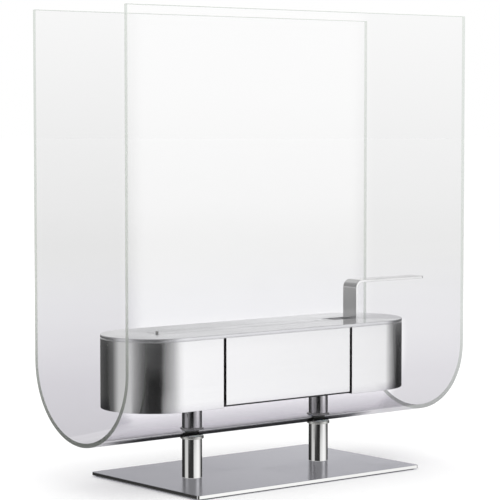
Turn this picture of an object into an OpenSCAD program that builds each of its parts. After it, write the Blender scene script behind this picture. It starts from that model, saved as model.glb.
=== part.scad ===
// Tabletop ethanol fireplace: a U-bent glass flame screen clamped on two posts
// over a steel base, with a burner housing between the panes.
// Millimetres. X runs along the housing, -Y is the front, +Z is up.
// The origin is the centre of the base on the surface that it stands on.

/* [Base] */
// Length of the base plate, along X
base_l = 330; // [280:5:400]
// Depth of the base plate, along Y
base_w = 204; // [184:2:240]
// Thickness of the base plate
base_t = 4; // [4:0.5:8]
// Corner radius of the base plate, seen from above
base_corner_r = 3; // [1:0.5:10]
// Thickness of the anti-slip pad under the base plate
pad_t = 1.5; // [1:0.5:3]
// How far the pad's edge lies inside the base plate's edge
pad_inset = 4; // [2:1:10]

/* [Posts] */
// Diameter of the four posts
post_d = 23; // [20:0.5:26]
// Distance between the post axes, along X
post_spacing = 191; // [150:1:240]
// Height of a post under the glass
lower_post_h = 45; // [40:1:80]
// Height of a post over the glass
upper_post_h = 28.4; // [27:0.2:50]
// Diameter of the collars that clamp the glass
collar_d = 27; // [24:0.5:32]
// Height of the collar under the glass
lower_collar_h = 3.2; // [3:0.2:8]
// Height of the collar over the glass
upper_collar_h = 2; // [2:0.2:6]
// Bevel on the collars' edges
collar_bevel = 0.5; // [0.2:0.1:1]
// Thread diameter of the rods and screws in the posts
thread_d = 8; // [6:1:8]

/* [Glass screen] */
// Length of the glass, along X
glass_l = 500; // [440:10:700]
// Outside depth across both panes, along Y
glass_w = 180; // [170:2:220]
// Height of the glass from the bottom of the U to its top edges
glass_h = 483; // [300:1:600]
// Thickness of the glass
glass_t = 5; // [4:0.5:8]
// Diameter of the two holes in the bottom of the U
glass_hole_d = 16; // [14:0.5:18]
// Thickness of the gasket under the glass, on the post axis
lower_gasket_t = 1.1; // [0.8:0.1:2]
// Thickness of the gasket over the glass, on the post axis
upper_gasket_t = 1.3; // [1.2:0.1:2]

/* [Burner housing] */
// Overall length of the housing, along X
housing_l = 420; // [380:5:480]
// Depth of the housing, along Y, and twice the radius of its ends
housing_w = 120; // [116:2:130]
// Height of the housing wall, without the lid
wall_h = 79; // [76:1:100]
// Thickness of the housing wall
wall_t = 2; // [1.5:0.5:3]
// Thickness of the housing floor
floor_t = 2; // [1.5:0.5:3]

/* [Front panel] */
// Width of the flush front panel, along X
panel_w = 185.5; // [120:0.5:240]
// Dark gap between the panel and the wall, at each side
panel_gap = 3.5; // [1:0.5:5]
// Gap under the panel
panel_bottom_gap = 3; // [1:0.5:3]
// Depth of the pan behind the panel
pan_depth = 6; // [4:0.5:7]
// Thickness of the pan's sheet
pan_t = 1.5; // [1:0.5:2]
// Distance between the panel's two welded studs
panel_stud_spacing = 140; // [60:5:160]

/* [Lid and slot] */
// Thickness of the lid plate
lid_t = 4; // [3.5:0.5:6]
// Height of the shadow groove under the lid's edge
lid_groove_h = 0.7; // [0.4:0.1:1.2]
// Length of the slot in the lid
slot_l = 300; // [240:5:320]
// Width of the slot in the lid
slot_w = 24.6; // [24.6:0.2:30]
// Thickness of the rails under the slot
rail_t = 1.5; // [1:0.5:2]
// Clear width between the rails
throat_w = 20; // [16:1:22]

/* [Closure] */
// Width of the closure bar and its handle
closure_w = 24; // [20:0.5:24]
// Thickness of the closure bar
bar_t = 4; // [2:0.5:4]
// Where the bar ends beside the handle, along X
bar_end_x = 111; // [95:1:120]
// Thickness of the handle strip
handle_t = 3; // [2.5:0.5:5]
// Gap between the riser and the slot's end
riser_gap = 1.6; // [1:0.1:5]
// Height of the arm's top over the lid
arm_h = 46; // [30:1:80]
// Where the arm's tip lies, along X
arm_tip_x = 258; // [200:1:320]
// Inner radius of the bend between riser and arm
top_bend_r = 7; // [3:0.5:10]
// Inner radius of the bend between foot and riser
foot_bend_r = 2; // [1:0.5:4]

/* [Fuel tank] */
// Length of the tank, along X
tank_l = 330; // [310:5:340]
// Depth of the tank, along Y
tank_w = 84; // [70:1:84]
// Height of the tank
tank_h = 58; // [40:1:58]
// Thickness of the tank's sheet
tank_t = 1.5; // [1:0.5:2]
// Height of the brackets under the tank
cradle_h = 8; // [6:1:10]

/* [Hidden] */
$fn = 96;

// Small distances shared by many pieces: the play of a thread or a push fit,
// the wider play of a loose hole, and how far a cut or a joined solid runs past a face
play = 0.1;
loose_play = 0.2;
past = 1;

// Heights, from the floor up
plate_z = pad_t;
lower_post_z = plate_z + base_t;
lower_collar_z = lower_post_z + lower_post_h;
lower_gasket_z = lower_collar_z + lower_collar_h;
glass_z = lower_gasket_z + lower_gasket_t;
glass_in_z = glass_z + glass_t;
upper_collar_z = glass_in_z + upper_gasket_t;
upper_post_z = upper_collar_z + upper_collar_h;
housing_z = upper_post_z + upper_post_h;
floor_top_z = housing_z + floor_t;
lid_z = housing_z + wall_h;
lid_top_z = lid_z + lid_t;

// Glass
glass_r = glass_w / 2;
glass_in_r = glass_r - glass_t;
arc_z = glass_z + glass_r;
glass_top_z = glass_z + glass_h;

// Posts and their fasteners
post_x = post_spacing / 2;
thread_r = thread_d / 2;
rod_r = thread_r - play;
lower_bore_depth = 18;
upper_bore_depth = 14;
top_bore_depth = 11;
bore_end_gap = 2;
post_bevel = 0.4;

// Countersunk screws in the base plate
csk_h = 3.6;
csk_r = thread_r + csk_h;
socket_r = 2.9;
socket_depth = 2.5;
screw_hole_r = thread_r + loose_play;

// Button-head screws in the housing floor
button_r = 6.5;
button_h = 4.4;
button_bevel = 1.5;

// Gaskets and bushes
gasket_r = 12.5;
gasket_hole_r = glass_hole_d / 2 + loose_play;
bush_r = glass_hole_d / 2 - loose_play;
bush_hole_r = thread_r + play;
bush_shortfall = 0.4;

// Housing
inner_w = housing_w - 2 * wall_t;
inner_l = housing_l - 2 * wall_t;
front_y = -housing_w / 2;
front_in_y = front_y + wall_t;

// Panel, its pan and its studs
window_w = panel_w + 2 * panel_gap;
panel_z = housing_z + panel_bottom_gap;
panel_h = lid_z - panel_z;
pan_overlap = 1;
pan_w = window_w + 2 * (pan_overlap + pan_t);
pan_y = front_in_y + pan_depth;
shoulder_r = 4;
panel_stud_r = 2;
panel_stud_l = 6;
panel_stud_z = housing_z + wall_h / 2;
nut_across = 7;
nut_h = 3.2;
pan_hole_r = panel_stud_r + loose_play;

// Lid
lid_groove_depth = 1;
tab_l = 20;
tab_t = 1.5;
tab_h = 8;
tab_x = 125;
tab_gap = 0.6;

// Rails under the slot
rail_flange = 10;
rail_leg_h = 8;
rail_end_x = 82;
rail_overrun = 5;
bar_gap = 1;
bar_start_x = -slot_l / 2 + bar_gap;

// Closure handle
riser_x = slot_l / 2 - riser_gap - handle_t;
arm_top_z = lid_top_z + arm_h;
foot_gap = 3;
foot_start_x = rail_end_x + foot_gap;
foot_bottom_z = lid_z - handle_t;
tip_corner_r = 3;
rivet_r = 2.5;
rivet_head_r = 4;
rivet_head_h = 1;
rivet_head_bevel = 1;
rivet_x = [92, 104];
closure_stud_inset = 5;
closure_stud_x = -slot_l / 2 + closure_stud_inset;
closure_stud_neck_r = 1.4;
closure_stud_head_r = 2.1;
closure_stud_neck_h = 0.8;
closure_stud_head_h = 1.6;
closure_stud_bevel = 0.9;

// Tank
tank_z = floor_top_z + cradle_h;
tank_top_z = tank_z + tank_h;
tank_corner_r = 6;
cover_skirt = 4;
cover_play = 0.2;
mouth_w = 26;
mesh_t = 1;
fibre_play = 0.3;
mesh_slot = [9, 2.4];
mesh_pitch = [12, 4.6];
mesh_rows = 3;
mesh_columns = 24;
cradle_x = 135;
cradle_w = 30;
cradle_top = 70;
cradle_foot = 12;
cradle_t = 1.5;

// Colours
polished = "#d9dadb";
brushed = "#aeb0b6";
galvanised = "#8e9194";
clear_glass = [0.86, 0.88, 0.90, 0.30];
silicone = "#c9c9c4";
nylon = "#e6e3da";
black_pad = "#2b2b2c";
wool = "#f1efe8";

// Outline of a long shape with round ends
module stadium(l, w) {
    square([l - w, w], center = true);
    for (side = [-1, 1])
        translate([side * (l - w) / 2, 0])
            circle(d = w);
}

// Rectangle with round corners
module rounded_rect(l, w, r) {
    square([l - 2 * r, w], center = true);
    square([l, w - 2 * r], center = true);
    for (sx = [-1, 1], sy = [-1, 1])
        translate([sx * (l / 2 - r), sy * (w / 2 - r)])
            circle(r);
}

// Solid of an outline, from height z up by h
module slab(z, h) {
    translate([0, 0, z])
        linear_extrude(h)
            children();
}

// Upright cylinder on the axis of one post
module on_post(side, z, h, r) {
    translate([side * post_x, 0, z])
        cylinder(h = h, r = r);
}

// Cylinder along X that has the glass's own bend
module glass_bend(r) {
    translate([-glass_l, 0, arc_z])
        rotate([0, 90, 0])
            cylinder(h = 2 * glass_l, r = r, $fn = 180);
}

// Ring with bevelled edges, from height z up by h
module bevelled_ring(z, h, r, hole_r, bevel) {
    translate([0, 0, z])
        rotate_extrude()
            polygon([
                [hole_r, 0], [r - bevel, 0], [r, bevel],
                [r, h - bevel], [r - bevel, h], [hole_r, h],
            ]);
}

module base_pad() {
    color(black_pad)
        slab(0, pad_t)
            rounded_rect(base_l - 2 * pad_inset, base_w - 2 * pad_inset, base_corner_r);
}

module base_plate() {
    color(brushed)
        difference() {
            slab(plate_z, base_t)
                rounded_rect(base_l, base_w, base_corner_r);
            for (side = [-1, 1]) {
                on_post(side, plate_z - past, base_t + 2 * past, screw_hole_r);
                translate([side * post_x, 0, plate_z])
                    cylinder(h = csk_h, r1 = csk_r + play, r2 = thread_r + play);
            }
        }
}

module base_screws() {
    shank_h = base_t + lower_bore_depth - bore_end_gap;
    color(galvanised)
        for (side = [-1, 1])
            difference() {
                union() {
                    translate([side * post_x, 0, plate_z])
                        cylinder(h = csk_h, r1 = csk_r, r2 = thread_r);
                    on_post(side, plate_z + past, shank_h - past, rod_r);
                }
                translate([side * post_x, 0, plate_z - past])
                    cylinder(h = socket_depth + past, r = socket_r, $fn = 6);
            }
}

module lower_post(side) {
    top_bore_z = lower_collar_z - lower_bore_depth;
    color(polished)
        difference() {
            translate([side * post_x, 0, 0])
                bevelled_ring(lower_post_z, lower_post_h, post_d / 2, 0, post_bevel);
            on_post(side, lower_post_z - past, lower_bore_depth + past, thread_r);
            on_post(side, top_bore_z, lower_bore_depth + past, thread_r);
        }
}

module lower_collar(side) {
    color(polished)
        translate([side * post_x, 0, 0])
            bevelled_ring(lower_collar_z, lower_collar_h, collar_d / 2, thread_r, collar_bevel);
}

// The gasket's top follows the outside of the bend
module lower_gasket(side) {
    color(silicone)
        difference() {
            on_post(side, lower_gasket_z, glass_t, gasket_r);
            on_post(side, lower_gasket_z - past, glass_t + 2 * past, gasket_hole_r);
            glass_bend(glass_r);
        }
}

// Outline of the inside or outside of the U, in Y and Z
module u_outline(r) {
    translate([0, arc_z])
        circle(r, $fn = 180);
    translate([-r, arc_z])
        square([2 * r, glass_top_z - arc_z]);
}

module glass_screen() {
    color(clear_glass)
        difference() {
            rotate([90, 0, 90])
                linear_extrude(glass_l, center = true)
                    difference() {
                        u_outline(glass_r);
                        u_outline(glass_in_r);
                    }
            for (side = [-1, 1])
                on_post(side, glass_z - past, glass_t + 2 * past, glass_hole_d / 2);
        }
}

module glass_bush(side) {
    bush_h = upper_collar_z - lower_gasket_z - bush_shortfall;
    color(nylon)
        difference() {
            on_post(side, lower_gasket_z, bush_h, bush_r);
            on_post(side, lower_gasket_z - past, bush_h + 2 * past, bush_hole_r);
        }
}

// The gasket's underside follows the inside of the bend
module upper_gasket(side) {
    color(silicone)
        intersection() {
            difference() {
                on_post(side, glass_z, upper_collar_z - glass_z, gasket_r);
                on_post(side, glass_z - past, glass_t + upper_gasket_t + 2 * past, gasket_hole_r);
            }
            glass_bend(glass_in_r);
        }
}

module upper_collar(side) {
    color(polished)
        translate([side * post_x, 0, 0])
            bevelled_ring(upper_collar_z, upper_collar_h, collar_d / 2, thread_r, collar_bevel);
}

module clamp_stud(side) {
    start_z = lower_collar_z - lower_bore_depth + bore_end_gap;
    end_z = upper_post_z + upper_bore_depth - bore_end_gap;
    color(galvanised)
        on_post(side, start_z, end_z - start_z, rod_r);
}

module upper_post(side) {
    color(polished)
        difference() {
            translate([side * post_x, 0, 0])
                bevelled_ring(upper_post_z, upper_post_h, post_d / 2, 0, post_bevel);
            on_post(side, upper_post_z - past, upper_bore_depth + past, thread_r);
            on_post(side, housing_z - top_bore_depth, top_bore_depth + past, thread_r);
        }
}

module housing_floor() {
    notch_w = pan_w + 2 * play;
    color(polished)
        difference() {
            slab(housing_z, floor_t)
                stadium(inner_l - 2 * play, inner_w - 2 * play);
            for (side = [-1, 1])
                on_post(side, housing_z - past, floor_t + 2 * past, screw_hole_r);
            translate([-notch_w / 2, front_y, housing_z - past])
                cube([notch_w, wall_t + pan_depth + pan_t + play, floor_t + 2 * past]);
        }
}

module housing_screws() {
    shank_h = floor_t + top_bore_depth - bore_end_gap;
    color(galvanised)
        for (side = [-1, 1])
            difference() {
                union() {
                    on_post(side, floor_top_z - shank_h, shank_h + past, rod_r);
                    translate([side * post_x, 0, floor_top_z])
                        cylinder(h = button_h, r1 = button_r, r2 = button_r - button_bevel);
                }
                translate([side * post_x, 0, floor_top_z + button_h - socket_depth])
                    cylinder(h = socket_depth + past, r = socket_r, $fn = 6);
            }
}

module housing_shell() {
    color(polished)
        difference() {
            slab(housing_z, wall_h)
                stadium(housing_l, housing_w);
            slab(housing_z - past, wall_h + 2 * past)
                stadium(inner_l, inner_w);
            translate([-window_w / 2, front_y - past, housing_z - past])
                cube([window_w, wall_t + 2 * past, wall_h + 2 * past]);
        }
}

// One stud position of the front panel, seen along Y
module on_panel_stud(side, y, l, r, faces = 0) {
    translate([side * panel_stud_spacing / 2, y, panel_stud_z])
        rotate([-90, 0, 0])
            cylinder(h = l, r = r, $fn = faces);
}

module panel_pan() {
    side_y = front_in_y + play;
    color(polished)
        difference() {
            translate([-pan_w / 2, side_y, housing_z])
                cube([pan_w, pan_y + pan_t - side_y, wall_h]);
            translate([-pan_w / 2 + pan_t, side_y - past, housing_z - past])
                cube([pan_w - 2 * pan_t, pan_y - side_y + past, wall_h + 2 * past]);
            for (side = [-1, 1])
                on_panel_stud(side, pan_y - past, pan_t + 2 * past, pan_hole_r, 48);
        }
}

module front_panel() {
    color(polished) {
        translate([-panel_w / 2, front_y, panel_z])
            cube([panel_w, wall_t, panel_h]);
        for (side = [-1, 1]) {
            on_panel_stud(side, front_in_y - past, pan_depth + past, shoulder_r, 48);
            on_panel_stud(side, pan_y - past, panel_stud_l + past, panel_stud_r, 48);
        }
    }
}

module panel_nuts() {
    nut_y = pan_y + pan_t;
    color(galvanised)
        for (side = [-1, 1])
            difference() {
                on_panel_stud(side, nut_y, nut_h, nut_across / sqrt(3), 6);
                on_panel_stud(side, nut_y - past, nut_h + 2 * past, panel_stud_r + play, 48);
            }
}

// Hat-shaped bracket, its outline in Y and Z
module tank_cradle(side) {
    half_top = cradle_top / 2;
    half_foot = half_top + cradle_foot;
    inner = half_top - cradle_t;
    color(galvanised)
        translate([side * cradle_x, 0, floor_top_z])
            rotate([90, 0, 90])
                linear_extrude(cradle_w, center = true)
                    polygon([
                        [-half_foot, 0], [-inner, 0], [-inner, cradle_h - cradle_t],
                        [inner, cradle_h - cradle_t], [inner, 0], [half_foot, 0],
                        [half_foot, cradle_t], [half_top, cradle_t], [half_top, cradle_h],
                        [-half_top, cradle_h], [-half_top, cradle_t], [-half_foot, cradle_t],
                    ]);
}

module fuel_tank() {
    color(polished)
        difference() {
            slab(tank_z, tank_h)
                rounded_rect(tank_l, tank_w, tank_corner_r);
            slab(tank_z + tank_t, tank_h)
                rounded_rect(tank_l - 2 * tank_t, tank_w - 2 * tank_t, tank_corner_r - tank_t);
        }
}

module fibre_block() {
    inset = tank_t + fibre_play;
    color(wool)
        slab(tank_z + tank_t, tank_h - tank_t - mesh_t)
            rounded_rect(tank_l - 2 * inset, tank_w - 2 * inset, tank_corner_r - inset);
}

// Sheet with rows of slots under the flame opening
module fibre_mesh() {
    inset = tank_t + fibre_play;
    color(brushed)
        difference() {
            slab(tank_top_z - mesh_t, mesh_t)
                rounded_rect(tank_l - 2 * inset, tank_w - 2 * inset, tank_corner_r - inset);
            for (column = [0 : mesh_columns - 1], row = [0 : mesh_rows - 1])
                translate([
                    (column - (mesh_columns - 1) / 2) * mesh_pitch[0],
                    (row - (mesh_rows - 1) / 2) * mesh_pitch[1],
                    tank_top_z - mesh_t / 2,
                ])
                    cube([mesh_slot[0], mesh_slot[1], 2 * mesh_t], center = true);
        }
}

module tank_cover() {
    skirt_l = tank_l + 2 * cover_play;
    skirt_w = tank_w + 2 * cover_play;
    skirt_r = tank_corner_r + cover_play;
    color(polished)
        difference() {
            slab(tank_top_z - cover_skirt, cover_skirt + tank_t)
                rounded_rect(skirt_l + 2 * tank_t, skirt_w + 2 * tank_t, skirt_r + tank_t);
            slab(tank_top_z - cover_skirt - past, cover_skirt + past)
                rounded_rect(skirt_l, skirt_w, skirt_r);
            slab(tank_top_z - past, tank_t + 2 * past)
                square([slot_l, mouth_w], center = true);
        }
}

module lid_plate() {
    color(polished)
        difference() {
            union() {
                slab(lid_z + lid_groove_h, lid_t - lid_groove_h)
                    stadium(housing_l, housing_w);
                slab(lid_z, lid_t)
                    stadium(housing_l - 2 * lid_groove_depth, housing_w - 2 * lid_groove_depth);
            }
            slab(lid_z - past, lid_t + 2 * past)
                square([slot_l, slot_w], center = true);
        }
}

module lid_tabs() {
    outer_y = inner_w / 2 - tab_gap;
    color(polished)
        for (sx = [-1, 1], sy = [-1, 1])
            translate([sx * tab_x, sy * (outer_y - tab_t / 2), lid_z - tab_h / 2])
                cube([tab_l, tab_t, tab_h], center = true);
}

// Angle strip: the bar lies on its inner edge, and its leg walls the throat
module slot_rail(side) {
    start_x = -slot_l / 2 - rail_overrun;
    length = rail_end_x - start_x;
    color(polished)
        mirror([0, side < 0 ? 1 : 0, 0]) {
            translate([start_x, throat_w / 2, lid_z - rail_t])
                cube([length, rail_flange, rail_t]);
            translate([start_x, throat_w / 2, lid_z - rail_leg_h])
                cube([length, rail_t, rail_leg_h]);
        }
}

module closure_bar() {
    length = bar_end_x - bar_start_x;
    color(polished)
        difference() {
            translate([bar_start_x, -closure_w / 2, lid_z])
                cube([length, closure_w, bar_t]);
            for (x = rivet_x)
                translate([x, 0, lid_z - past])
                    cylinder(h = bar_t + 2 * past, r = rivet_r + play);
            translate([closure_stud_x, 0, lid_z - past])
                cylinder(h = bar_t + 2 * past, r = closure_stud_neck_r + play);
        }
}

// Quarter ring in X and Z, in the quadrant given by the two signs
module quarter_bend(inner_r, sx, sz) {
    outer_r = inner_r + handle_t;
    intersection() {
        difference() {
            circle(outer_r);
            circle(inner_r);
        }
        translate([sx < 0 ? -outer_r : 0, sz < 0 ? -outer_r : 0])
            square(outer_r);
    }
}

// Side view of the handle strip: foot, bend, riser, bend and arm
module handle_outline() {
    foot_bend_x = riser_x - foot_bend_r;
    foot_bend_z = foot_bottom_z + handle_t + foot_bend_r;
    top_bend_x = riser_x + handle_t + top_bend_r;
    top_bend_z = arm_top_z - handle_t - top_bend_r;
    translate([foot_start_x, foot_bottom_z])
        square([foot_bend_x - foot_start_x, handle_t]);
    translate([foot_bend_x, foot_bend_z])
        quarter_bend(foot_bend_r, 1, -1);
    translate([riser_x, foot_bend_z])
        square([handle_t, top_bend_z - foot_bend_z]);
    translate([top_bend_x, top_bend_z])
        quarter_bend(top_bend_r, -1, 1);
    translate([top_bend_x, arm_top_z - handle_t])
        square([arm_tip_x - top_bend_x, handle_t]);
}

module closure_handle() {
    length = arm_tip_x - foot_start_x;
    color(polished)
        difference() {
            intersection() {
                translate([0, closure_w / 2, 0])
                    rotate([90, 0, 0])
                        linear_extrude(closure_w)
                            handle_outline();
                translate([foot_start_x + length / 2, 0, foot_bottom_z - past])
                    linear_extrude(arm_top_z - foot_bottom_z + 2 * past)
                        rounded_rect(length, closure_w, tip_corner_r);
            }
            for (x = rivet_x)
                translate([x, 0, foot_bottom_z - past])
                    cylinder(h = handle_t + 2 * past, r = rivet_r + play);
        }
}

module handle_rivets() {
    color(galvanised)
        for (x = rivet_x)
            translate([x, 0, foot_bottom_z]) {
                cylinder(h = handle_t + bar_t, r = rivet_r);
                translate([0, 0, -rivet_head_h])
                    cylinder(h = rivet_head_h, r1 = rivet_head_r - rivet_head_bevel, r2 = rivet_head_r);
            }
}

module closure_stud() {
    head_z = lid_z + bar_t + closure_stud_neck_h;
    straight_h = closure_stud_head_h - closure_stud_bevel;
    color(polished)
        translate([closure_stud_x, 0, 0]) {
            translate([0, 0, lid_z])
                cylinder(h = bar_t + closure_stud_neck_h, r = closure_stud_neck_r);
            translate([0, 0, head_z])
                cylinder(h = straight_h, r = closure_stud_head_r);
            translate([0, 0, head_z + straight_h])
                cylinder(h = closure_stud_bevel, r1 = closure_stud_head_r,
                         r2 = closure_stud_head_r - closure_stud_bevel);
        }
}

base_pad();
base_plate();
base_screws();
lower_post(-1);  // lower_post_left
lower_post(1);  // lower_post_right
lower_collar(-1);  // lower_collar_left
lower_collar(1);  // lower_collar_right
lower_gasket(-1);  // lower_gasket_left
lower_gasket(1);  // lower_gasket_right
glass_screen();
glass_bush(-1);  // glass_bush_left
glass_bush(1);  // glass_bush_right
upper_gasket(-1);  // upper_gasket_left
upper_gasket(1);  // upper_gasket_right
upper_collar(-1);  // upper_collar_left
upper_collar(1);  // upper_collar_right
clamp_stud(-1);  // clamp_stud_left
clamp_stud(1);  // clamp_stud_right
upper_post(-1);  // upper_post_left
upper_post(1);  // upper_post_right
housing_floor();
housing_screws();
housing_shell();
panel_pan();
front_panel();
panel_nuts();
tank_cradle(-1);  // tank_cradle_left
tank_cradle(1);  // tank_cradle_right
fuel_tank();
fibre_block();
fibre_mesh();
tank_cover();
lid_plate();
lid_tabs();
slot_rail(-1);  // slot_rail_front
slot_rail(1);  // slot_rail_rear
closure_bar();
closure_handle();
handle_rivets();
closure_stud();
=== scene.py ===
"""Looks of the tabletop ethanol fireplace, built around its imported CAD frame.

Metres, +Z up, the front panel towards -Y, the closure's arm towards +X. The CAD frame gives
every place. The pieces that are seen most are built here as finer meshes, and the others are
the CAD nodes with eased edges. Every material is made of nodes.
"""

import math

import bmesh
import bpy
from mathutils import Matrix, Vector, noise


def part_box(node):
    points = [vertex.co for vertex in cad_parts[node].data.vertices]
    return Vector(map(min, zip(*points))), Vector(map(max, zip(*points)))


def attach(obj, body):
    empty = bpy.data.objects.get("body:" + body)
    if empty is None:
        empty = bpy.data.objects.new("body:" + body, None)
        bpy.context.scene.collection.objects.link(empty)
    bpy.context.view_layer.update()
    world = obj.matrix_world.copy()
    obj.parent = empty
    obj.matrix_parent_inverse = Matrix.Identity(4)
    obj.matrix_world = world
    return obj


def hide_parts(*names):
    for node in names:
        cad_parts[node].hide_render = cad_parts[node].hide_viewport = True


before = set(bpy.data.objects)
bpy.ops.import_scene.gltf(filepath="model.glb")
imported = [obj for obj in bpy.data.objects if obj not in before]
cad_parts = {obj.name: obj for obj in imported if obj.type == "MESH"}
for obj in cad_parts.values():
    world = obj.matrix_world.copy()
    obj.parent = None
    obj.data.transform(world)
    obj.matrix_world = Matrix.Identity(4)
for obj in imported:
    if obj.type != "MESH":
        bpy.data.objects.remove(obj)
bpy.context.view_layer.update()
scene = bpy.context.scene

MM = 0.001
GLASS = "glass_screen"


# ---------------------------------------------------------------- camera, light and floor

CAMERA_TARGET = Vector((-0.010, 0.0, 0.263))
CAMERA_AZIMUTH = math.radians(-39.0)
CAMERA_ELEVATION = math.radians(3.75)
CAMERA_DISTANCE = 2.484
CAMERA_LENS = 153.5


def make_camera():
    """The camera at the photograph's angle."""
    back = Vector((
        math.sin(CAMERA_AZIMUTH) * math.cos(CAMERA_ELEVATION),
        -math.cos(CAMERA_AZIMUTH) * math.cos(CAMERA_ELEVATION),
        math.sin(CAMERA_ELEVATION),
    ))
    camera = bpy.data.objects.new("camera", bpy.data.cameras.new("camera"))
    camera.data.lens = CAMERA_LENS
    camera.data.sensor_width = 36.0
    camera.location = CAMERA_TARGET + CAMERA_DISTANCE * back
    camera.rotation_euler = (-back).to_track_quat("-Z", "Y").to_euler()
    scene.collection.objects.link(camera)
    scene.camera = camera


class Tree:
    """A node tree, with short calls that add nodes and join them."""

    def __init__(self, node_tree):
        self.nodes = node_tree.nodes
        self.links = node_tree.links
        self.nodes.clear()

    def add(self, kind, inputs=None, **settings):
        """Adds a shader node. An input is a number, a colour or another node's socket."""
        node = self.nodes.new("ShaderNode" + kind)
        for key, value in settings.items():
            setattr(node, key, value)
        for key, value in (inputs or {}).items():
            if isinstance(value, bpy.types.NodeSocket):
                self.links.new(value, node.inputs[key])
            else:
                node.inputs[key].default_value = value
        return node

    def math(self, operation, a, b=0.0, clamp=False):
        return self.add("Math", {0: a, 1: b}, operation=operation, use_clamp=clamp).outputs[0]

    def times(self, product, *factors):
        """The values multiplied together."""
        for factor in factors:
            product = self.math("MULTIPLY", product, factor)
        return product

    def remap(self, value, low, high, to_low=0.0, to_high=1.0, kind="LINEAR"):
        """value taken from low..high to to_low..to_high, and held at the ends."""
        inputs = {0: value, 1: low, 2: high, 3: to_low, 4: to_high}
        return self.add("MapRange", inputs, interpolation_type=kind).outputs[0]

    def ramp(self, value, stops):
        """Colour by value: stops holds (position, grey or colour) pairs in order."""
        node = self.add("ValToRGB", {0: value})
        elements = node.color_ramp.elements
        while len(elements) < len(stops):
            elements.new(1.0)
        for element, (position, colour) in zip(elements, stops):
            element.position = position
            element.color = rgba(colour)
        return node.outputs[0]

    def mix_colour(self, factor, a, b, blend="MIX"):
        node = self.add("Mix", {0: factor}, data_type="RGBA", blend_type=blend)
        for index, value in ((6, a), (7, b)):
            if isinstance(value, bpy.types.NodeSocket):
                self.links.new(value, node.inputs[index])
            else:
                node.inputs[index].default_value = rgba(value)
        return node.outputs[2]

    def noise(self, place, stretch, detail=3.0, roughness=0.55):
        """Noise with its own number of cycles a metre along X, Y and Z."""
        spot = self.add("VectorMath", {0: place, 1: stretch}, operation="MULTIPLY").outputs[0]
        inputs = {"Vector": spot, "Scale": 1.0, "Detail": detail, "Roughness": roughness}
        return self.add("TexNoise", inputs).outputs[0]


def rgba(colour):
    """A grey number or an RGB triple as RGBA."""
    if isinstance(colour, (int, float)):
        return (colour, colour, colour, 1.0)
    return (*colour[:3], 1.0)


# What polished steel mirrors, as (degrees from -Y towards -X, light) pairs. At the height of the
# housing it is a softbox at -36, a dark gap where the camera stands, a broad light at 90 and a
# dark room behind. Near the floor it is white paper on both sides of a wider dark gap.
# Lower down it is the pale table. Each ring is blended in over its own band of heights in degrees.
HOUSING_LIGHT = [
    (-180, 0.10), (-120, 0.10), (-86, 0.03), (-73, 0.24), (-57, 0.62), (-46, 1.04), (-42, 1.30),
    (-36, 1.43), (-24, 1.24), (-8, 0.68), (10, 0.32), (20, 0.03), (28, 0.01), (46, 0.015), (52, 0.06),
    (61, 0.18), (74, 0.42), (88, 0.78), (116, 0.72), (135, 0.17), (157, 0.06), (180, 0.09),
]
FLOOR_LIGHT = [
    (-180, 0.03), (-100, 0.05), (-82, 0.10), (-67, 0.90), (-38, 1.45), (0, 1.20), (16, 1.00),
    (22, 0.05), (80, 0.04), (87, 0.92), (120, 0.90), (132, 0.08), (150, 0.03), (180, 0.03),
]
TABLE_LIGHT = [
    (-180, 0.62), (-120, 0.95), (-70, 0.50), (-38, 1.20), (15, 0.55), (60, 0.80), (100, 1.05), (150, 0.50),
    (180, 0.62),
]
FLOOR_BAND = (-9.2, -7.9)
TABLE_BAND = (-14.5, -11.5)
# The wall above the horizon, as (share of the way up, light) pairs, and how much of that light
# each direction gets.
SKY_LIGHT = [
    (0.0, 0.84), (0.055, 0.82), (0.072, 0.77), (0.09, 0.62), (0.12, 0.39), (0.2, 0.44), (1.0, 0.62),
]
SKY_SHARE = [
    (-180, 0.84), (-144, 0.84), (-139.5, 1.0), (108, 1.0), (130, 0.44), (152, 0.44), (172, 0.84),
    (180, 0.84),
]
BRIGHTEST = 1.45
# The least light in the rings above the band.
HAZE = 0.45 / BRIGHTEST
HAZE_BAND = (-6.4, -4.8)
FLOOR_GLOW = 0.056


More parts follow.
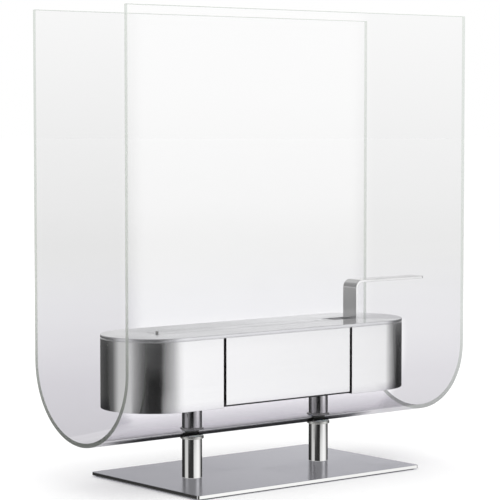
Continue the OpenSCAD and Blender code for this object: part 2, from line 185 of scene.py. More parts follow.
def make_world():
    """Plain white light, which polished steel sees as a studio of softboxes and dark gaps."""
    world = bpy.data.worlds.new("studio")
    scene.world = world
    world.use_nodes = True
    world.cycles.sampling_method = "NONE"
    tree = Tree(world.node_tree)
    direction = tree.add("TexCoord").outputs["Generated"]
    x, y, z = tree.add("SeparateXYZ", {0: direction}).outputs
    turn = tree.math("ARCTAN2", tree.times(x, -1.0), tree.times(y, -1.0))
    share = tree.remap(turn, -math.pi, math.pi)
    rings = [
        tree.ramp(share, [((angle + 180) / 360, light / most) for angle, light in lights])
        for lights, most in ((HOUSING_LIGHT, BRIGHTEST), (FLOOR_LIGHT, BRIGHTEST),
                             (TABLE_LIGHT, BRIGHTEST), (SKY_SHARE, 1.0))
    ]
    height = tree.math("DEGREES", tree.math("ARCSINE", z))
    near_floor = tree.remap(height, *FLOOR_BAND, 1.0, 0.0, "SMOOTHSTEP")
    on_table = tree.remap(height, *TABLE_BAND, 1.0, 0.0, "SMOOTHSTEP")
    sides = tree.mix_colour(near_floor, rings[0], rings[1])
    sides = tree.mix_colour(on_table, sides, rings[2])
    hazy = tree.remap(height, *HAZE_BAND, 0.0, HAZE, "SMOOTHSTEP")
    sides = tree.mix_colour(1.0, sides, hazy, "LIGHTEN")
    sky = tree.ramp(tree.remap(height, 0.0, 90.0), SKY_LIGHT)
    sky = tree.mix_colour(1.0, sky, rings[3], "MULTIPLY")
    behind = tree.remap(tree.math("ABSOLUTE", turn), 1.8, 2.2, kind="SMOOTHSTEP")
    overhead = tree.remap(height, 11.0, 14.0, kind="SMOOTHSTEP")
    open_sky = tree.math("MAXIMUM", behind, overhead)
    above = tree.remap(height, -4.0, 2.5, kind="SMOOTHSTEP")
    mirrored = tree.mix_colour(tree.times(above, open_sky), sides, sky)
    mirrored = tree.mix_colour(1.0, mirrored, BRIGHTEST, "MULTIPLY")
    glossy = tree.add("LightPath").outputs["Is Glossy Ray"]
    background = tree.add("Background", {"Color": tree.mix_colour(glossy, 1.0, mirrored)})
    output = tree.add("OutputWorld")
    tree.links.new(background.outputs[0], output.inputs[0])


def make_lamp(name, place, size, power):
    """A soft square lamp that looks at the object and doesn't show in the steel."""
    lamp = bpy.data.objects.new(name, bpy.data.lights.new(name, "AREA"))
    lamp.data.size = size
    lamp.data.energy = power
    lamp.location = place
    lamp.rotation_euler = (CAMERA_TARGET - Vector(place)).to_track_quat("-Z", "Y").to_euler()
    lamp.visible_glossy = False
    lamp.visible_camera = False
    scene.collection.objects.link(lamp)


def make_floor():
    """A pale floor that takes the soft shadow under the object."""
    bm = bmesh.new()
    bmesh.ops.create_circle(bm, cap_ends=True, segments=64, radius=30.0)
    floor = object_of("studio_floor", bm)
    material = bpy.data.materials.new("studio_floor")
    material.use_nodes = True
    tree = Tree(material.node_tree)
    place = tree.add("TexCoord").outputs["Object"]
    shade = tree.remap(tree.noise(place, (3, 3, 3)), 0.3, 0.7, 0.95, 0.96)
    shader = tree.add("BsdfPrincipled", {
        "Base Color": tree.mix_colour(shade, 0.0, 1.0), "Roughness": 1.0, "Specular IOR Level": 0.0,
        "Emission Color": rgba(1.0), "Emission Strength": FLOOR_GLOW,
    })
    tree.links.new(shader.outputs[0], tree.add("OutputMaterial").inputs[0])
    floor.data.materials.append(material)
    floor.visible_glossy = False


# ---------------------------------------------------------------- materials

def new_tree(name):
    """A new material, its tree and its object coordinates."""
    material = bpy.data.materials.new(name)
    material.use_nodes = True
    tree = Tree(material.node_tree)
    return material, tree, tree.add("TexCoord").outputs["Object"]


def finish_tree(tree, shader):
    tree.links.new(shader, tree.add("OutputMaterial").inputs[0])


def steel(name, colour, roughness, grain, grain_depth, anisotropic=0.0, smudge=0.03, wear=0.06):
    """Steel with a fine grain, soft smudges and edges that handling has rubbed.

    grain is the grain's cycles a metre along X, Y and Z, and grain_depth its height in metres.
    """
    material, tree, place = new_tree(name)
    fine = tree.noise(place, grain, 2.0, 0.7)
    broad = tree.noise(place, [0.12 * g for g in grain], 3.0, 0.6)
    cloud = tree.noise(place, (22, 22, 22), 4.0, 0.6)
    streak = tree.mix_colour(0.45, fine, broad)
    rounded_normal = tree.add("Bevel", {"Radius": 0.6 * MM}, samples=4).outputs[0]
    flat_normal = tree.add("NewGeometry").outputs["Normal"]
    agree = tree.add("VectorMath", {0: rounded_normal, 1: flat_normal}, operation="DOT_PRODUCT")
    rubbed = tree.remap(agree.outputs["Value"], 0.97, 0.75, 0.0, 1.0)
    rubbed = tree.times(rubbed, tree.remap(cloud, 0.35, 0.65, 0.4, 1.0))
    value = tree.remap(streak, 0.3, 0.7, 0.98, 1.015)
    tint = tree.mix_colour(1.0, colour, value, "MULTIPLY")
    tint = tree.mix_colour(tree.times(rubbed, 0.35), tint, 0.80)
    rough = tree.math("ADD", tree.remap(cloud, 0.35, 0.7, roughness - smudge / 3, roughness + smudge),
                      tree.remap(streak, 0.3, 0.7, -0.2 * roughness, 0.2 * roughness))
    rough = tree.math("ADD", rough, tree.times(rubbed, wear))
    bump = tree.add("Bump", {"Strength": 0.6, "Distance": grain_depth, "Height": streak})
    shader = tree.add("BsdfPrincipled", {
        "Base Color": tint, "Metallic": 1.0, "Roughness": rough,
        "Anisotropic": anisotropic, "Normal": bump.outputs[0],
    })
    finish_tree(tree, shader.outputs[0])
    return material


# The tint of a pane with painted shade, bottom to top: clear in its middle and painted darker
# towards the bottom, and painted deep where it stands out past the other pane or past the housing.
CLEAR_TINT_AND_SHADE = [
    (0.0, (0.700, 0.693, 0.712)), (0.012, (0.795, 0.788, 0.806)), (0.04, (0.895, 0.887, 0.905)),
    (0.10, (0.968, 0.967, 0.972)), (0.22, (0.966, 0.965, 0.969)), (0.26, (0.936, 0.936, 0.942)),
    (0.31, (0.934, 0.934, 0.940)), (0.42, 0.956), (0.55, 0.975), (0.8, 0.988), (1.0, 0.992),
]
DEEP_TINT_AND_SHADE = [
    (0.0, (0.690, 0.683, 0.702)), (0.012, (0.722, 0.714, 0.736)), (0.12, (0.748, 0.740, 0.762)),
    (0.22, (0.795, 0.790, 0.806)), (0.31, (0.822, 0.820, 0.832)), (0.42, 0.865), (0.55, 0.897),
    (0.8, 0.937), (1.0, 0.965),
]
# How much lighter the front pane's deep painted shade is.
FRONT_SHADE_LIGHTER = 0.17
# Where clear turns into the deep painted shade, as distances from the middle, to the right on the
# front pane and to the left on the rear one: above the lid on each pane, and beside the housing on both.
FRONT_FADE = (66 * MM, 106 * MM)
REAR_FADE = (95 * MM, 135 * MM)
BESIDE_FADE = (140 * MM, 160 * MM)
# How high, from the lid's underside, each pane counts as beside the housing, and the height over
# which that ends.
FRONT_LID, REAR_LID, LID_FADE = 9 * MM, -18 * MM, 4 * MM
# The painted dark line along the bottom, painted shade where the sheet is seen on edge: where it fades in and
# out, and its colours.
LINE_LEFT = (-235 * MM, -195 * MM)
LINE_RIGHT = (115 * MM, 150 * MM)
BEND_PAINTED_SHADE = (0.16, 0.165, 0.17)
UNDERSIDE_PAINTED_SHADE = (0.14, 0.14, 0.15)
# Schlick's mirror share of the sheet: its slope and its value face on.
MIRROR_SLOPE, MIRROR_BASE = 0.90, 0.004


def bend_axis():
    """How high the middle of the sheet's round bend is."""
    low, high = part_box(GLASS)
    return low.z + (high.y - low.y) / 2


def pane_tint_and_shade(tree, x, y, z):
    """The sheet's tint and painted shade by its place: clear or painted deep, and cooler and painted deeper
    towards the bend.
    """
    low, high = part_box(GLASS)
    share = tree.remap(z, low.z, high.z)
    # Painted shade: both ramps darken towards the bottom, and the deep one is painted where a pane stands
    # beside the other pane and the housing.
    clear = tree.ramp(share, CLEAR_TINT_AND_SHADE)
    deep = tree.ramp(share, DEEP_TINT_AND_SHADE)
    front = tree.remap(y, -40 * MM, 40 * MM, 1.0, 0.0)
    deep = tree.mix_colour(tree.times(front, FRONT_SHADE_LIGHTER), deep, 1.0)
    outward = tree.times(x, tree.remap(front, 0.0, 1.0, -1.0, 1.0))
    lid_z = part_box("housing_shell")[1].z
    limit = tree.remap(front, 0.0, 1.0, lid_z + REAR_LID, lid_z + FRONT_LID)
    beside = tree.remap(tree.math("SUBTRACT", z, limit), 0.0, LID_FADE, 1.0, 0.0)
    start, end = [
        tree.remap(beside, 0.0, 1.0, tree.remap(front, 0.0, 1.0, rear, fore), side)
        for rear, fore, side in zip(REAR_FADE, FRONT_FADE, BESIDE_FADE)
    ]
    return tree.mix_colour(tree.remap(outward, start, end, kind="SMOOTHSTEP"), clear, deep)


def painted_bottom_line(tree, x, y, z, facing, in_bend, mirrored):
    """Painted shade where the sheet is seen on edge: how dark it is in the whole bend, and on its underside.

    Both are left out of what the steel mirrors.
    """
    low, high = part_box(GLASS)
    seen = tree.math("SUBTRACT", 1.0, mirrored)
    # The painted shade fades in near the sheet's left end and out near its right end.
    line = tree.times(tree.remap(x, *LINE_LEFT), tree.remap(x, *LINE_RIGHT, 1.0, 0.0), seen)
    # Painted shade that grows as the sheet is seen more on edge.
    grazing = tree.remap(facing, 0.76, 0.96, 0.0, 0.35, "SMOOTHSTEP")
    bend = tree.times(grazing, in_bend, line)
    height = tree.math("SUBTRACT", z, bend_axis())
    across = tree.add("CombineXYZ", {0: 0.0, 1: y, 2: height}).outputs[0]
    radius = tree.add("VectorMath", {0: across}, operation="LENGTH").outputs["Value"]
    outside = tree.remap(radius, high.y - 3 * MM, high.y - 1 * MM)
    below = tree.remap(z, low.z + 10 * MM, low.z + 18 * MM, 1.0, 0.0)
    brim = tree.remap(facing, 0.71, 0.81, kind="SMOOTHSTEP")
    return bend, tree.times(brim, below, outside, line)


def glass_sheet():
    """Clear sheet glass: see-through, tinted and given painted shade by its place, with a faint mirror on
    top.
    """
    material, tree, place = new_tree("glass_sheet")
    x, y, z = tree.add("SeparateXYZ", {0: place}).outputs
    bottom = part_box(GLASS)[0].z
    facing = tree.add("LayerWeight", {"Blend": 0.5}).outputs["Facing"]
    mirrored = tree.add("LightPath").outputs["Is Glossy Ray"]
    in_bend = tree.remap(z, bottom + 50 * MM, bottom + 110 * MM, 1.0, 0.0)
    bend, underside = painted_bottom_line(tree, x, y, z, facing, in_bend, mirrored)
    # Painted shade: the dark line where the sheet is seen on edge, laid over the tint and its painted shade.
    tint = tree.mix_colour(bend, pane_tint_and_shade(tree, x, y, z), BEND_PAINTED_SHADE)
    tint = tree.mix_colour(underside, tint, UNDERSIDE_PAINTED_SHADE)
    above_line = tree.remap(z, bottom + 30 * MM, bottom + 45 * MM)
    # What the steel mirrors sees the sheet without its painted shade, above the bottom.
    tint = tree.mix_colour(tree.times(mirrored, above_line), tint, 1.0)
    dust = tree.noise(place, (60, 60, 60), 6.0, 0.7)
    mirror = tree.add("BsdfGlossy", {"Color": rgba(0.98), "Roughness": tree.remap(dust, 0.4, 0.8, 0.0, 0.03)})
    through = tree.add("BsdfTransparent", {"Color": tint})
    schlick = tree.add("Math", {0: tree.math("POWER", facing, 5.0), 1: MIRROR_SLOPE, 2: MIRROR_BASE},
                       operation="MULTIPLY_ADD").outputs[0]
    # The faint mirror is weaker in the bend and on the painted dark line, so that the painted shade stays
    # dark.
    in_bend_less = tree.remap(in_bend, 0.0, 1.0, 1.0, 0.10)
    in_line_less = tree.remap(underside, 0.0, 1.0, 1.0, 0.2)
    schlick = tree.times(schlick, in_bend_less, in_line_less)
    mix = tree.add("MixShader", {0: schlick, 1: through.outputs[0], 2: mirror.outputs[0]})
    finish_tree(tree, mix.outputs[0])
    return material


def glass_edge():
    """The sheet's ground and polished edge, grey-green, with painted shade that darkens it towards the bend
    and towards its left end.
    """
    material, tree, place = new_tree("glass_edge")
    low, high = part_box(GLASS)
    x, _, z = tree.add("SeparateXYZ", {0: place}).outputs
    share = tree.remap(z, low.z, high.z)
    # Grey-green edge colour with painted shade: darker towards the bend.
    body = tree.ramp(share, [
        (0.0, (0.050, 0.056, 0.045)), (0.10, (0.09, 0.10, 0.08)), (0.20, (0.17, 0.185, 0.16)),
        (0.34, (0.40, 0.42, 0.385)), (0.6, (0.52, 0.55, 0.52)), (1.0, (0.60, 0.63, 0.60)),
    ])
    speck = tree.remap(tree.noise(place, (900, 900, 900), 2.0), 0.3, 0.7, 0.85, 1.12)
    body = tree.mix_colour(1.0, body, speck, "MULTIPLY")
    grind = tree.add("Bump", {"Strength": 0.25, "Distance": 0.00005,
                              "Height": tree.noise(place, (1500, 1500, 1500), 1.0)})
    shader = tree.add("BsdfPrincipled", {
        "Base Color": body, "Roughness": tree.remap(speck, 0.85, 1.12, 0.18, 0.34),
        "Normal": grind.outputs[0],
    })
    through = tree.add("BsdfTransparent", {"Color": rgba((0.86, 0.89, 0.86))})
    # Painted shade: the edge is more solid and darker towards its left end and towards the bend.
    left_end_shade = tree.remap(x, low.x, high.x, 0.56, 0.20)
    painted_shade_share = tree.math("ADD", left_end_shade, tree.remap(share, 0.0, 0.25, 0.3, 0.0))
    mix = tree.add("MixShader", {0: painted_shade_share, 1: through.outputs[0], 2: shader.outputs[0]})
    finish_tree(tree, mix.outputs[0])
    return material


def plain_stuff(name, colour, roughness, cells, depth, variation=0.06, **sockets):
    """Rubber, silicone, nylon or wool: a mottled colour and a surface of small grains."""
    material, tree, place = new_tree(name)
    grains = tree.noise(place, (cells, cells, cells), 3.0, 0.6)
    cloud = tree.noise(place, (40, 40, 40), 3.0)
    value = tree.remap(tree.mix_colour(0.5, grains, cloud), 0.3, 0.7, 1 - variation, 1 + variation)
    tint = tree.mix_colour(1.0, colour, value, "MULTIPLY")
    bump = tree.add("Bump", {"Strength": 0.7, "Distance": depth, "Height": grains})
    inputs = {
        "Base Color": tint, "Normal": bump.outputs[0],
        "Roughness": tree.remap(grains, 0.3, 0.7, roughness - 0.06, roughness + 0.06),
    }
    inputs.update({key.replace("_", " "): value for key, value in sockets.items()})
    shader = tree.add("BsdfPrincipled", inputs)
    finish_tree(tree, shader.outputs[0])
    return material


# ---------------------------------------------------------------- outlines

def arc(centre, radius, start, end, steps):
    """Points on an arc round centre, from start to end in degrees."""
    turns = [math.radians(start + (end - start) * i / steps) for i in range(steps + 1)]
    return [
        Vector((centre[0] + radius * math.cos(turn), centre[1] + radius * math.sin(turn)))
        for turn in turns
    ]


def circle(centre, radius, steps=64):
    """A clockwise circle, which makes a hole."""
    return arc(centre, radius, 360, 0, steps)[:-1]


def rectangle(x0, y0, x1, y1):
    return [Vector(p) for p in ((x0, y0), (x1, y0), (x1, y1), (x0, y1))]


def stadium(length, width, steps=60):
    """A long outline with round ends, anticlockwise."""
    middle = (length - width) / 2
    right = arc((middle, 0), width / 2, -90, 90, steps)
    left = arc((-middle, 0), width / 2, 90, 270, steps)
    return right + left


def rounded(points, radius, steps=4):
    """The outline with an arc in place of each real corner."""
    result = []
    for i, corner in enumerate(points):
        back = (points[i - 1] - corner).normalized()
        ahead = (points[(i + 1) % len(points)] - corner).normalized()
        between = back.angle(ahead)
        if between > math.radians(150):
            result.append(corner)
            continue
        centre = corner + (back + ahead).normalized() * radius / math.sin(between / 2)
        start = corner + back * radius / math.tan(between / 2) - centre
        end = corner + ahead * radius / math.tan(between / 2) - centre
        sweep = math.atan2(start.x * end.y - start.y * end.x, start.dot(end))
        first = math.atan2(start.y, start.x)
        result += [
            centre + radius * Vector((math.cos(first + sweep * k / steps),
                                      math.sin(first + sweep * k / steps)))
            for k in range(steps + 1)
        ]
    return result


def inset(points, distance):
    """The outline moved to its left, which is the material's side."""
    moved = []
    for i, point in enumerate(points):
        before = (point - points[i - 1]).normalized()
        after = (points[(i + 1) % len(points)] - point).normalized()
        side = Vector((-before.y - after.y, before.x + after.x))
        moved.append(point + side * (2 * distance / side.length_squared))
    return moved


def eased(low, high, ease, steps=3):
    """An edge's profile as (inset, height) pairs, with both arrises rounded."""
    quarter = [math.pi / 2 * k / steps for k in range(steps + 1)]
    bottom = [(ease * (1 - math.sin(t)), low + ease * (1 - math.cos(t))) for t in quarter]
    top = [(d, high - (z - low)) for d, z in reversed(bottom)]
    return bottom + top


# ---------------------------------------------------------------- meshes

def shade_smooth(mesh, degrees=32):
    """Smooth shading across every edge that turns by less than this."""
    mesh.polygons.foreach_set("use_smooth", [True] * len(mesh.polygons))
    mesh.set_sharp_from_angle(angle=math.radians(degrees))


def object_of(name, bm, materials=(), smooth=32):
    """The bmesh as a new object, smooth up to that many degrees."""
    bmesh.ops.remove_doubles(bm, verts=bm.verts, dist=1e-7)
    bmesh.ops.recalc_face_normals(bm, faces=bm.faces)
    mesh = bpy.data.meshes.new(name)
    bm.to_mesh(mesh)
    bm.free()
    for material in materials:
        mesh.materials.append(material)
    shade_smooth(mesh, smooth)
    made = bpy.data.objects.new(name, mesh)
    scene.collection.objects.link(made)
    return made


def even_normals(piece):
    """Keeps flat faces flat next to their rounded edges."""
    modifier = piece.modifiers.new("even_normals", "WEIGHTED_NORMAL")
    modifier.keep_sharp = True
    return piece


def skin(bm, rings):
    """Adds the faces between each ring of points and the next."""
    for lower, upper in zip(rings, rings[1:]):
        for i in range(len(lower)):
            bm.faces.new((lower[i - 1], lower[i], upper[i], upper[i - 1]))


def capped(bm, rings):
    """Adds the faces between the rings and one at each end."""
    skin(bm, rings)
    bm.faces.new(rings[0])
    bm.faces.new(rings[-1])


def solid(bm, loops, place):
    """Adds a solid between two flat ends. loops holds (outline, profile) pairs, the outer one
    anticlockwise and holes clockwise, and place turns (x, y, height) into a point."""
    ends = ([], [])
    for outline, profile in loops:
        rings = [
            [bm.verts.new(place(p.x, p.y, height)) for p in inset(outline, distance)]
            for distance, height in profile
        ]
        skin(bm, rings)
        for end, ring in zip(ends, (rings[0], rings[-1])):
            end += [bm.edges.get((ring[i - 1], ring[i])) for i in range(len(ring))]
    for end in ends:
        bmesh.ops.triangle_fill(bm, use_beauty=True, edges=end)


def flat(x, y, height):
    return x, y, height


def along_x(x, y, height):
    """For outlines drawn in Y and Z, with their length along X."""
    return height, x, y


def turned(bm, centre, profile, segments=96):
    """Adds a turned solid: profile is a closed outline of radius and height."""
    rings = []
    for k in range(segments):
        angle = 2 * math.pi * k / segments
        rings.append([
            bm.verts.new((centre[0] + p.x * math.cos(angle), centre[1] + p.x * math.sin(angle), p.y))
            for p in profile
        ])
    for k in range(segments):
        for i in range(len(profile)):
            corners = (rings[k - 1][i - 1], rings[k][i - 1], rings[k][i], rings[k - 1][i])
            bm.faces.new(corners)
    bmesh.ops.remove_doubles(bm, verts=bm.verts, dist=1e-8)
    bmesh.ops.dissolve_degenerate(bm, edges=bm.edges, dist=1e-8)


def stands_for(piece, body, slot, *nodes):
    """Puts a new piece on its body, in place of the CAD nodes that it shows better."""
    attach(piece, body)
    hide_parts(*nodes)
    return even_normals(piece)


def middle_of(node):
    """The middle of a node's box, seen from above, as (x, y)."""
    low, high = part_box(node)
    return (low.x + high.x) / 2, (low.y + high.y) / 2


# ---------------------------------------------------------------- the base

def base_plate(material, rim):
    """The brushed plate, with a bright rim and two countersunk holes for the posts' screws."""
    low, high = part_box("base_plate")
    post_x = -middle_of("lower_post_left")[0]
    hole, sink, corner = 4.2 * MM, 3.6 * MM, 3 * MM
    outline = rounded(rectangle(low.x, low.y, high.x, high.y), corner, 10)
    loops = [(outline, eased(low.z, high.z, 0.35 * MM))]
    for side in (-1, 1):
        profile = [(sink, low.z), (0.0, low.z + sink), (0.0, high.z)]
        loops.append((circle((side * post_x, 0), hole), profile))
    bm = bmesh.new()
    solid(bm, loops, flat)
    piece = object_of("base_plate_steel", bm, [material, rim])
    # The housing mirrors the studio's own floor in its place.
    piece.visible_glossy = False
    for face in piece.data.polygons:
        face.material_index = 1 if abs(face.normal.z) < 0.3 else 0
    return stands_for(piece, "stand", "brushed_steel", "base_plate")


def base_pad(material):
    """The anti-slip pad, with shallow ribs on its underside."""
    low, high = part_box("base_pad")
    pitch, groove, depth = 6 * MM, 2 * MM, 0.5 * MM
    count = int((high.y - low.y) / pitch) - 1
    start = -(count - 1) / 2 * pitch
    points = [
        Vector((high.y, low.z)), Vector((high.y, high.z)),
        Vector((low.y, high.z)), Vector((low.y, low.z)),
    ]
    for i in range(count):
        middle = start + i * pitch
        points += [
            Vector((middle - groove / 2, low.z)), Vector((middle - groove / 2 + depth / 2, low.z + depth)),
            Vector((middle + groove / 2 - depth / 2, low.z + depth)), Vector((middle + groove / 2, low.z)),
        ]
    bm = bmesh.new()
    solid(bm, [(points, eased(low.x, high.x, 0.15 * MM, 2))], along_x)
    piece = object_of("base_pad_ribbed", bm, [material])
    piece.visible_glossy = False
    return stands_for(piece, "stand", "pad_rubber", "base_pad")


# ---------------------------------------------------------------- the posts

def ring_piece(node, name, material, inner, ease, slot="polished_steel"):
    """A turned ring or post with the CAD node's outside and a bore of radius inner."""
    low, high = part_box(node)
    centre = middle_of(node)
    outline = rounded(rectangle(inner, low.z, (high.x - low.x) / 2, high.z), ease)
    bm = bmesh.new()
    turned(bm, centre, outline)
    piece = object_of(name, bm, [material])
    return stands_for(piece, "stand", slot, node)


def threaded_rod(node, name, material, pitch=1.25 * MM):
    """The long stud through the glass, with a real helical thread."""
    low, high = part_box(node)
    centre = middle_of(node)
    radius, depth, tip, around = (high.x - low.x) / 2, 0.65 * MM, 0.6 * MM, 24
    rows = int((high.z - low.z) / (pitch / 6))
    bm = bmesh.new()
    rings = []
    for row in range(rows + 1):
        z = low.z + (high.z - low.z) * row / rows
        chamfer = max(0.0, tip - min(z - low.z, high.z - z))
        ring = []
        for k in range(around):
            turn = (z / pitch - k / around) % 1.0
            groove = depth * max(0.0, 1.0 - abs(turn - 0.5) * 2.4)
            r = radius - max(groove, chamfer)
            angle = 2 * math.pi * k / around
            ring.append(bm.verts.new((centre[0] + r * math.cos(angle), centre[1] + r * math.sin(angle), z)))
        rings.append(ring)
    capped(bm, rings)
    piece = object_of(name, bm, [material], 40)
    return stands_for(piece, "stand", "fastener_steel", node)


def posts(polished, satin, fastener):
    """Both stacks of post, collar, glass, collar and post."""
    bore = 4 * MM
    for side in ("left", "right"):
        ring_piece("lower_post_" + side, "lower_post_turned_" + side, polished, bore, 0.4 * MM)
        ring_piece("upper_post_" + side, "upper_post_turned_" + side, polished, bore, 0.4 * MM)
        ring_piece("lower_collar_" + side, "lower_collar_turned_" + side, satin, bore, 0.6 * MM)
        ring_piece("upper_collar_" + side, "upper_collar_turned_" + side, satin, bore, 0.6 * MM)
        threaded_rod("clamp_stud_" + side, "clamp_stud_threaded_" + side, fastener)


# ---------------------------------------------------------------- the glass

def glass_screen(sheet, edge):
    """One sheet bent to a U, with arrised edges and the two holes for the posts."""
    low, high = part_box(GLASS)
    outer = (high.y - low.y) / 2
    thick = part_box("upper_gasket_left")[0].z - low.z
    inner, bend_z = outer - thick, bend_axis()
    arris, steps = 0.6 * MM, 72
    points = [Vector((-outer, high.z - arris))]
    points += arc((0, bend_z), outer, 180, 360, steps)
    points += [Vector((outer, high.z - arris)), Vector((outer - arris, high.z)),
               Vector((inner + arris, high.z)), Vector((inner, high.z - arris))]
    points += arc((0, bend_z), inner, 360, 180, steps)
    points += [Vector((-inner, high.z - arris)), Vector((-inner - arris, high.z)),
               Vector((-outer + arris, high.z))]
    profile = [(arris, low.x), (0.0, low.x + arris), (0.0, high.x - arris), (arris, high.x)]
    bm = bmesh.new()
    solid(bm, [(points, profile)], along_x)
    piece = object_of("glass_screen_bent", bm, [sheet, edge])
    bush_low, bush_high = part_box("glass_bush_left")
    hole = (bush_high.x - bush_low.x) / 2 + 0.2 * MM
    post_x = -middle_of("glass_bush_left")[0]
    bm = bmesh.new()
    for side in (-1, 1):
        turned(bm, (side * post_x, 0), rectangle(0, low.z - thick, hole, low.z + 3 * thick), 64)
    cut_away(piece, object_of("glass_holes", bm))
    mark_edges(piece, arris)
    return stands_for(piece, "stand", "clear_glass", GLASS)


def cut_away(piece, cutter):
    """Takes the cutter out of the piece's mesh, and deletes it."""
    modifier = piece.modifiers.new("cut", "BOOLEAN")
    modifier.object = cutter
    modifier.solver = "EXACT"
    graph = bpy.context.evaluated_depsgraph_get()
    mesh = bpy.data.meshes.new_from_object(piece.evaluated_get(graph))
    piece.modifiers.remove(modifier)
    piece.data = mesh
    bpy.data.objects.remove(cutter)
    shade_smooth(mesh)


def mark_edges(piece, arris):
    """Gives the edge material to the sheet's ends, top edges, arrises and hole walls."""
    high, bend_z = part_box(GLASS)[1], bend_axis()
    for face in piece.data.polygons:
        on_end = abs(face.center.x) > high.x - 2 * arris and abs(face.normal.x) > 0.3
        on_top = face.center.z > high.z - 2 * arris
        radial = Vector((0, face.center.y, min(face.center.z - bend_z, 0.0))).normalized()
        in_hole = face.center.z < bend_z and abs(face.normal.dot(radial)) < 0.7
        face.material_index = 1 if on_end or on_top or in_hole else 0


# ---------------------------------------------------------------- the burner housing

# The sizes of the CAD model that no node's box gives.
WALL = 2 * MM
PANEL_GAP = 3.5 * MM
GROOVE_HEIGHT = 0.7 * MM
GROOVE_DEPTH = 1.0 * MM
SLOT_LENGTH = 300 * MM
SLOT_WIDTH = 24.6 * MM
STRIP_THICK = 3 * MM
RISER_GAP = 1.6 * MM
FOOT_BEND = 2 * MM
TOP_BEND = 7 * MM


def housing_shell(material):
    """The round-ended wall, open in front where the flush panel sits."""
    low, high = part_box("housing_shell")
    length, width = high.x - low.x, high.y - low.y
    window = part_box("front_panel")[1].x + PANEL_GAP
    outside = stadium(length, width)
    inside = stadium(length - 2 * WALL, width - 2 * WALL)
    points = [Vector((window, low.y))] + outside + [Vector((-window, low.y))]
    points += [Vector((-window, low.y + WALL))] + list(reversed(inside)) + [Vector((window, low.y + WALL))]
    bm = bmesh.new()
    solid(bm, [(rounded(points, 0.3 * MM, 2), eased(low.z, high.z, 0.35 * MM))], flat)
    piece = object_of("housing_shell_polished", bm, [material])
    return stands_for(piece, "stand", "polished_steel", "housing_shell")


def lid_plate(material):
    """The lid with the burner slot and the shadow groove under its rim."""
    low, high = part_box("lid_plate")
    rim = eased(low.z + GROOVE_HEIGHT, high.z, 0.5 * MM)
    outer = [(GROOVE_DEPTH, low.z), (GROOVE_DEPTH, low.z + GROOVE_HEIGHT)] + rim
    slot = rounded(rectangle(-SLOT_LENGTH / 2, -SLOT_WIDTH / 2, SLOT_LENGTH / 2, SLOT_WIDTH / 2), 0.8 * MM)
    slot.reverse()
    loops = [(stadium(high.x - low.x, high.y - low.y), outer), (slot, eased(low.z, high.z, 0.8 * MM))]
    bm = bmesh.new()
    solid(bm, loops, flat)
    piece = object_of("lid_plate_polished", bm, [material])
    return stands_for(piece, "lid", "polished_steel", "lid_plate")


def closure_bar(material):
    """The flat bar in the slot, with the holes for its rivets and its stud."""
    low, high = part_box("closure_bar")
    outline = rounded(rectangle(low.x, low.y, high.x, high.y), 0.5 * MM)
    loops = [(outline, eased(low.z, high.z, 0.3 * MM))]
    rivet_low, rivet_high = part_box("handle_rivets")
    head, rivet_hole, stud_hole = 4 * MM, 2.6 * MM, 1.5 * MM
    straight = [(0, low.z), (0, high.z)]
    for x in (rivet_low.x + head, rivet_high.x - head):
        loops.append((circle((x, 0), rivet_hole, 32), straight))
    stud_x = middle_of("closure_stud")[0]
    loops.append((circle((stud_x, 0), stud_hole, 24), straight))
    bm = bmesh.new()
    solid(bm, loops, flat)
    piece = object_of("closure_bar_polished", bm, [material])
    return stands_for(piece, "closure", "polished_steel", "closure_bar")


def handle_path():
    """Middle line of the handle strip, as (x, z, direction in radians) from foot to tip."""
    low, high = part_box("closure_handle")
    half = STRIP_THICK / 2
    riser = SLOT_LENGTH / 2 - RISER_GAP - half
    foot_r, top_r = FOOT_BEND + half, TOP_BEND + half
    path = [(low.x, low.z + half, 0.0)]
    for i in range(9):
        turn = math.radians(90 * i / 8)
        x = riser - foot_r + foot_r * math.sin(turn)
        path.append((x, low.z + half + foot_r * (1 - math.cos(turn)), turn))
    for i in range(17):
        turn = math.radians(90 - 90 * i / 16)
        x = riser + top_r - top_r * math.sin(turn)
        path.append((x, high.z - half - top_r * (1 - math.cos(turn)), turn))
    path.append((high.x, high.z - half, 0.0))
    return path


def closure_handle(material):
    """The bent strip: foot, riser and arm, with round plan corners at both ends."""
    low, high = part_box("closure_handle")
    half, thick, corner, ease = (high.y - low.y) / 2, STRIP_THICK, 3 * MM, 0.4 * MM
    path = handle_path()
    tip = []
    for k in range(7):
        angle = math.radians(15 * k)
        along = corner * (1 - math.cos(angle))
        thin = ease - math.sqrt(max(0.0, ease * ease - max(0.0, ease - along) ** 2))
        tip.append((along, half - corner * (1 - math.sin(angle)), thick / 2 - thin))
    stations = [(low.x + along, path[0][1], 0.0, wide, deep) for along, wide, deep in tip]
    stations += [(x, z, turn, half, thick / 2) for x, z, turn in path[1:-1]]
    stations += [(high.x - along, path[-1][1], 0.0, wide, deep) for along, wide, deep in reversed(tip)]
    bm = bmesh.new()
    rings = []
    for x, z, turn, wide, deep in stations:
        section = rounded(rectangle(-wide, -deep, wide, deep), ease, 3)
        up = Vector((-math.sin(turn), 0, math.cos(turn)))
        rings.append([bm.verts.new(Vector((x, p.x, z)) + up * p.y) for p in section])
    capped(bm, rings)
    piece = object_of("closure_handle_bent", bm, [material])
    return stands_for(piece, "closure", "polished_steel", "closure_handle")


# The wool's mesh along X, Y and Z, how deep its surface is matted, and its tufts a metre.
WOOL_CUTS = (130, 32, 18)
WOOL_NAP = 1.6 * MM
WOOL_TUFTS = 160


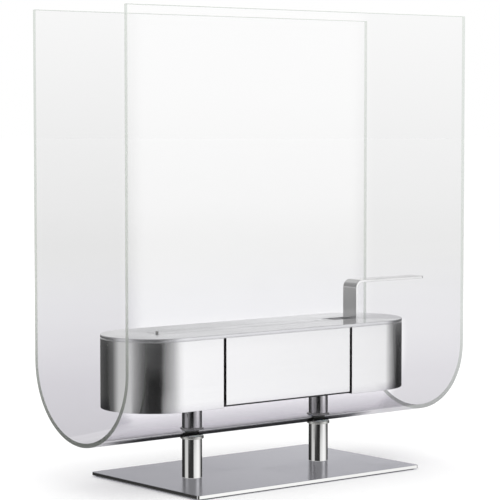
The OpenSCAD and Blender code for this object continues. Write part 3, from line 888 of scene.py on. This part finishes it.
def fibre_block(material):
    """The wool in the tank, with a matted, uneven surface."""
    low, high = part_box("fibre_block")
    size = high - low
    bm = bmesh.new()
    bmesh.ops.create_cube(bm, size=1.0)
    bmesh.ops.scale(bm, vec=size, verts=bm.verts)
    bmesh.ops.translate(bm, vec=(low + high) / 2, verts=bm.verts)
    for axis, cuts in enumerate(WOOL_CUTS):
        spans = [abs(e.verts[0].co[axis] - e.verts[1].co[axis]) for e in bm.edges]
        edges = [e for e, span in zip(bm.edges, spans) if span > 0.5 * size[axis]]
        bmesh.ops.subdivide_edges(bm, edges=edges, cuts=cuts, use_grid_fill=True)
    middle = (low + high) / 2
    for vert in bm.verts:
        pull = WOOL_NAP * (0.5 + 0.5 * noise.fractal(vert.co * WOOL_TUFTS, 0.9, 2.1, 4))
        pull = max(0.1 * MM, min(pull, 2.2 * MM))
        inward = Vector([
            -math.copysign(1.0, c - m) if abs(abs(c - m) - s / 2) < 1e-6 else 0.0
            for c, m, s in zip(vert.co, middle, size)
        ])
        vert.co += inward * pull
    piece = object_of("fibre_wool", bm, [material], 80)
    return stands_for(piece, "stand", "ceramic_fibre", "fibre_block")


# ---------------------------------------------------------------- CAD nodes that stay

def dress(node, material, ease):
    """Gives a CAD node its material and small rounded edges."""
    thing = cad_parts[node]
    for slot in thing.material_slots:
        slot.link = "OBJECT"
        slot.material = material
    weld = thing.modifiers.new("weld", "WELD")
    weld.merge_threshold = 1e-6
    merge = thing.modifiers.new("flat_faces", "DECIMATE")
    merge.decimate_type = "DISSOLVE"
    merge.angle_limit = math.radians(0.5)
    if ease:
        bevel = thing.modifiers.new("eased_edges", "BEVEL")
        bevel.width = ease
        bevel.segments = 2
        bevel.limit_method = "ANGLE"
        bevel.angle_limit = math.radians(40)
        bevel.harden_normals = True


# ---------------------------------------------------------------- the whole scene

make_camera()
make_world()
make_lamp("key_lamp", (-1.4, -1.8, 2.4), 1.6, 14.0)
make_lamp("fill_lamp", (1.8, -0.8, 1.8), 1.8, 7.0)
make_lamp("back_lamp", (0.3, 2.2, 2.2), 1.8, 7.0)
make_floor()

# Cycles a metre along X, Y and Z: the grain runs where the number is small.
WALL_GRAIN = (70, 70, 5200)
LENGTH_GRAIN = (55, 4200, 4200)
STRIP_GRAIN = (70, 5200, 70)
wall_steel = steel("wall_steel", (0.70, 0.70, 0.705), 0.07, WALL_GRAIN, 1.2e-6)
lid_steel = steel("lid_steel", (0.62, 0.62, 0.635), 0.16, LENGTH_GRAIN, 5e-6, anisotropic=0.3)
post_steel = steel("post_steel", (0.66, 0.66, 0.655), 0.05, WALL_GRAIN, 2e-6)
collar_steel = steel("collar_steel", (0.50, 0.50, 0.485), 0.22, WALL_GRAIN, 8e-6)
plate_steel = steel("plate_steel", (0.385, 0.382, 0.45), 0.17, LENGTH_GRAIN, 8e-6, anisotropic=0.5)
strip_steel = steel("strip_steel", (0.90, 0.90, 0.895), 0.19, STRIP_GRAIN, 5e-6, anisotropic=0.2)
sheet_steel = steel("sheet_steel", (0.56, 0.56, 0.57), 0.27, LENGTH_GRAIN, 6e-6, anisotropic=0.3, smudge=0.06)
zinc_steel = steel("zinc_steel", (0.52, 0.53, 0.54), 0.3, (900, 900, 900), 8e-6, smudge=0.08)
glass = glass_sheet()
edge = glass_edge()
rubber = plain_stuff("pad_rubber", (0.022, 0.022, 0.023), 0.72, 1600, 3e-5)
silicone = plain_stuff("silicone", (0.62, 0.62, 0.60), 0.42, 500, 5e-6, variation=0.04, Subsurface_Weight=0.2)
nylon = plain_stuff("nylon", (0.80, 0.78, 0.72), 0.45, 700, 1e-5, variation=0.03)
# Near black, as painted shade in the gap round the front panel, on the pan behind it.
gap_painted_shade = plain_stuff("black_gap_painted_shade", (0.012, 0.012, 0.012), 0.5, 1400, 1e-5)
wool = plain_stuff("ceramic_wool", (0.86, 0.85, 0.81), 0.95, 900, 4e-4, variation=0.10, Sheen_Weight=0.3)

base_plate(plate_steel, post_steel)
base_pad(rubber)
posts(post_steel, collar_steel, zinc_steel)
glass_screen(glass, edge)
housing_shell(wall_steel)
lid_plate(lid_steel)
closure_bar(lid_steel)
closure_handle(strip_steel)
fibre_block(wool)

dress("front_panel", wall_steel, 0.35 * MM)
dress("closure_stud", collar_steel, 0.2 * MM)
for node in ("lower_gasket_left", "lower_gasket_right", "upper_gasket_left", "upper_gasket_right"):
    dress(node, silicone, 0)
for node in ("glass_bush_left", "glass_bush_right"):
    dress(node, nylon, 0.3 * MM)
for node in ("base_screws", "housing_screws", "panel_nuts", "handle_rivets"):
    dress(node, zinc_steel, 0.2 * MM)
# The pan is near black as painted shade in the gap round the front panel.
dress("panel_pan", gap_painted_shade, 0.2 * MM)
dress("housing_floor", sheet_steel, 0.2 * MM)
for node in ("tank_cradle_left", "tank_cradle_right", "fuel_tank",
             "fibre_mesh", "tank_cover", "lid_tabs", "slot_rail_front", "slot_rail_rear"):
    dress(node, sheet_steel, 0.2 * MM)

scene.view_settings.view_transform = "Standard"
